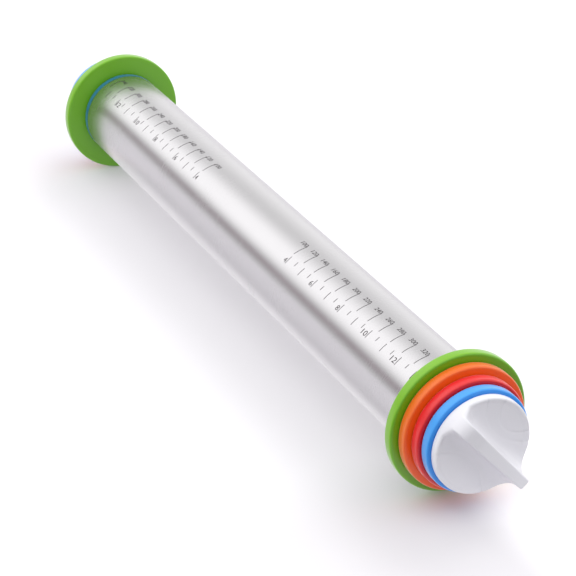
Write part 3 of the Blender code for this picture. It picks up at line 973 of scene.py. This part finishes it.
table_mesh = bpy.data.meshes.new("table")
half = TABLE_SIZE / 2
corners = [(-half, -half, 0), (half, -half, 0), (half, half, 0), (-half, half, 0)]
table_mesh.from_pydata(corners, [], [(0, 1, 2, 3)])
table = link(bpy.data.objects.new("table", table_mesh))
table_white = bpy.data.materials.new("white_table")
table_white.use_nodes = True
table_white.node_tree.nodes.clear()
patches = add(table_white, "ShaderNodeTexNoise", {"Scale": TONE_PATCHES, "Detail": 2.0})
tone = add(table_white, "ShaderNodeMixRGB",
           {"Fac": patches.outputs[0], "Color1": linear("#DDDBDF"), "Color2": linear("#DFDDE1")})
print("the table is %.0f m wide" % TABLE_SIZE)

# %% Soft steps over the table
# What each step goes by, where it starts and ends in millimetres, and its level at both places
TABLE_STEPS = {
    # The glow that the camera sees is painted light: faint at the pin and growing away from it
    "away": ("off_axis", (30, 75), (0.05, 0.15)),
    # It is stronger along the barrel than around the near end
    "barrel": ("X", (140, 190), (0.10, 0.0)),
    # On the right of the axis it is strongest, painted light that pales the pin's shadow there,
    "right": ("Y", (-8, 20), (0.0, 0.34)),
    # but only at the near end
    "near_end": ("X", (130, 180), (0.0, 1.0)),
    # Painted reflection: the steel mirrors a glow of its own, close to the pin's axis and no further out
    "mirrored": ("off_axis", (20, 45), (0.42, 0.0)),
    # In front of the near end the paper sends back less light
    "dark": ("X", (200, 270), (1.0, 0.3)),
}

spot = add(table_white, "ShaderNodeNewGeometry")
parts = add(table_white, "ShaderNodeSeparateXYZ", {0: spot.outputs["Position"]})
off_axis = add(table_white, "ShaderNodeMath", {0: parts.outputs["Y"]}, operation="ABSOLUTE")
places = {"X": parts.outputs["X"], "Y": parts.outputs["Y"], "off_axis": off_axis.outputs[0]}
steps = {}
for name, (direction, (start, end), (first, last)) in TABLE_STEPS.items():
    step = add(table_white, "ShaderNodeMapRange",
               {"Value": places[direction], "From Min": start * MM, "From Max": end * MM,
                "To Min": first, "To Max": last}, interpolation_type="SMOOTHSTEP")
    steps[name] = step.outputs[0]
print("steps over the table:", sorted(steps))

# %% Put the table's glow and its matt paper together
rays = add(table_white, "ShaderNodeLightPath")
beside = add(table_white, "ShaderNodeMath",
             {0: steps["right"], 1: steps["near_end"], 2: steps["away"]}, operation="MULTIPLY_ADD")
seen = add(table_white, "ShaderNodeMath", {0: beside.outputs[0], 1: steps["barrel"]}, operation="ADD")
# Painted reflection: the glow close to the axis, for mirrored rays only
painted_reflection = add(table_white, "ShaderNodeMath", {0: steps["mirrored"], 1: steps["dark"]},
               operation="MULTIPLY")
for_gloss = add(table_white, "ShaderNodeMath",
                {0: painted_reflection.outputs[0], 1: rays.outputs["Is Glossy Ray"]}, operation="MULTIPLY")
level = add(table_white, "ShaderNodeMath",
            {0: seen.outputs[0], 1: rays.outputs["Is Camera Ray"], 2: for_gloss.outputs[0]},
            operation="MULTIPLY_ADD")
# Painted light: the uneven glow on the paper
glow = add(table_white, "ShaderNodeEmission", {"Strength": level.outputs[0]})
# Painted shade: the paper's colour falls in front of the near end, unseen by the camera
kept = add(table_white, "ShaderNodeMath", {0: steps["dark"], 1: rays.outputs["Is Camera Ray"]},
           operation="MAXIMUM")
paper = add(table_white, "ShaderNodeMixRGB",
            {"Fac": kept.outputs[0], "Color1": (0, 0, 0, 1), "Color2": tone.outputs[0]})
matt = add(table_white, "ShaderNodeBsdfDiffuse", {"Color": paper.outputs[0]})
both = add(table_white, "ShaderNodeAddShader", {0: matt.outputs[0], 1: glow.outputs[0]})
add(table_white, "ShaderNodeOutputMaterial", {"Surface": both.outputs[0]})
table.data.materials.append(table_white)
table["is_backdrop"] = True
print("the table's material has", len(table_white.node_tree.nodes), "nodes")

# %% [markdown]
# ## The light tent
#
# Steel shows its surroundings more than itself, so it is photographed in a tent of white cloth.
# Area lamps could be set up round the pin, but their edges would show in the steel. So the tent is
# the world itself: its level changes only with the angle round the pin's axis, and in the steel
# each change is a straight soft band along the pin. The cloth is brightest just left of overhead.
# Low on the left a dark card draws the narrow dark line along the steel, with a touch of mauve.
# Beyond the near end the cloth is brighter, for the faces of the rings, and straight off that end
# it has a dim opening, which gives the knob its grey side. The camera itself sees plain white.

# %% Levels of the tent
# Each pair is an angle in degrees and a level. 0 is level with the pin on its right, 90 is overhead
# and 180 is level with it on its left.
BACK_BANDS = ((0, 1.15), (22, 1.12), (44, 0.95), (60, 0.82), (74, 0.86), (92, 1.19), (104, 1.36),
              (130, 1.38), (142, 1.22), (150, 0.92), (157, 0.58), (161, 0.41), (167, 0.40),
              (171, 0.47), (176, 0.62), (180, 0.72))
FRONT_BANDS = ((0, 1.50), (30, 1.40), (60, 1.40), (90, 1.50), (120, 1.50), (150, 1.35), (180, 1.20))
OPENING_LEVEL = 0.44
# A ramp's colours stop at 1, so its levels are divided by this, and the strength puts it back
LAMP_SCALE = 1.5
# Levels below this one belong to the dark card
CARD_LEVEL = 0.45
CARD_TINT = (1.0, 0.85, 0.91)
HALF_TURN = 180


def paint_bands(ramp, bands):
    """Puts one soft stop for each band into a colour ramp, which starts with two of its own."""
    stops = ramp.color_ramp.elements
    stops.remove(stops[1])
    for i, (angle, level) in enumerate(bands):
        stop = stops[0] if i == 0 else stops.new(angle / HALF_TURN)
        stop.position = angle / HALF_TURN
        tint = CARD_TINT if level < CARD_LEVEL else (1, 1, 1)
        stop.color = [level * part / LAMP_SCALE for part in tint] + [1]


print("the tent has", len(BACK_BANDS), "levels behind and", len(FRONT_BANDS), "in front")

# %% The tent as a world
# Shares of the way along the pin in a direction: 0 is square to it, 1 is straight off the near end
FRONT_FROM, FRONT_TO = 0.0, 0.2
OPENING_FROM, OPENING_TO = 0.5, 0.95

world = bpy.data.worlds.new("light_tent")
bpy.context.scene.world = world
world.use_nodes = True
place = add(world, "ShaderNodeTexCoord")
parts = add(world, "ShaderNodeSeparateXYZ", {0: place.outputs["Generated"]})
turn = add(world, "ShaderNodeMath", {0: parts.outputs["Z"], 1: parts.outputs["Y"]},
           operation="ARCTAN2")
share = add(world, "ShaderNodeMath", {0: turn.outputs[0], 1: math.pi}, operation="DIVIDE")
behind = add(world, "ShaderNodeValToRGB", {"Fac": share.outputs[0]})
paint_bands(behind, BACK_BANDS)
before = add(world, "ShaderNodeValToRGB", {"Fac": share.outputs[0]})
paint_bands(before, FRONT_BANDS)
front = add(world, "ShaderNodeMapRange",
            {"Value": parts.outputs["X"], "From Min": FRONT_FROM, "From Max": FRONT_TO},
            interpolation_type="SMOOTHSTEP")
walls = add(world, "ShaderNodeMixRGB",
            {"Fac": front.outputs[0], "Color1": behind.outputs[0], "Color2": before.outputs[0]})
opening = add(world, "ShaderNodeMapRange",
              {"Value": parts.outputs["X"], "From Min": OPENING_FROM, "From Max": OPENING_TO},
              interpolation_type="SMOOTHSTEP")
dim = OPENING_LEVEL / LAMP_SCALE
tent = add(world, "ShaderNodeMixRGB",
           {"Fac": opening.outputs[0], "Color1": walls.outputs[0], "Color2": (dim, dim, dim, 1)})
background = world.node_tree.nodes["Background"]
connect(world, tent.outputs[0], background, "Color")
background.inputs["Strength"].default_value = LAMP_SCALE
white = add(world, "ShaderNodeBackground", {"Color": (1, 1, 1, 1), "Strength": 1.0})
rays = add(world, "ShaderNodeLightPath")
either = add(world, "ShaderNodeMixShader",
             {0: rays.outputs["Is Camera Ray"], 1: background.outputs[0], 2: white.outputs[0]})
connect(world, either.outputs[0], world.node_tree.nodes["World Output"], "Surface")
print("the world has", len(world.node_tree.nodes), "nodes")

# %% [markdown]
# ## The key lamp
#
# One lamp outside the tent gives the light a direction. It stands low behind the pin on the right,
# so it lights the tops of the rims and one side of the knob, and the shadow falls to the left and
# to the front. A sun lamp as wide as a large soft box leaves soft edges. It isn't mirrored in the
# glossy surfaces, because behind the cloth it would show there as no more than the cloth does.

# %% Key lamp
KEY_STRENGTH = 0.65
KEY_WIDTH = math.radians(40)
KEY_FROM = Vector((-0.45, 0.66, 0.60))

sun = bpy.data.lights.new("key", "SUN")
sun.energy = KEY_STRENGTH
sun.angle = KEY_WIDTH
key = link(bpy.data.objects.new("key", sun))
key.rotation_euler = (-KEY_FROM).to_track_quat("-Z", "Y").to_euler()
key.visible_glossy = False
print("the key lamp is %.0f degrees up" % math.degrees(math.asin(KEY_FROM.normalized().z)))

# %% [markdown]
# ## The camera
#
# The camera stands about a metre from the pin's middle, beyond the near end, above the pin and on
# the left of its axis. A wide lens could stand closer, but it would swell the near knob. So the
# lens is a long one, as in most product pictures, and the rings at both ends look round.

# %% Camera
PIXELS = 576
FOCAL_PIXELS = 2170.7
SENSOR = 36.0
NEAREST_SEEN = 0.05
CAMERA_PLACE = (0.82197, -0.38137, 0.43764 + AXIS_HEIGHT)
LOOK_AZIMUTH, LOOK_DOWN = math.radians(154.42), math.radians(26.957)

lens = bpy.data.cameras.new("camera")
lens.sensor_width = SENSOR
lens.lens = FOCAL_PIXELS / PIXELS * SENSOR
lens.clip_start = NEAREST_SEEN
camera = link(bpy.data.objects.new("camera", lens))
look = Vector((math.cos(LOOK_DOWN) * math.cos(LOOK_AZIMUTH),
               math.cos(LOOK_DOWN) * math.sin(LOOK_AZIMUTH), -math.sin(LOOK_DOWN)))
camera.location = CAMERA_PLACE
camera.rotation_euler = look.to_track_quat("-Z", "Y").to_euler()
bpy.context.scene.camera = camera
bpy.context.scene.view_settings.view_transform = "Standard"
print("the lens is %.0f mm long" % lens.lens)

# %% [markdown]
# ## Both sizes
#
# The dressed pin is meant to fill the same box as the measured one, so both boxes are printed.

# %% Print both boxes and finish
visual_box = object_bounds()
boxes = {"cad": [list(corner) for corner in cad_box], "visual": [list(corner) for corner in visual_box]}
for label, corners in boxes.items():
    print(label, [["%.2f" % (c / MM) for c in corner] for corner in corners])
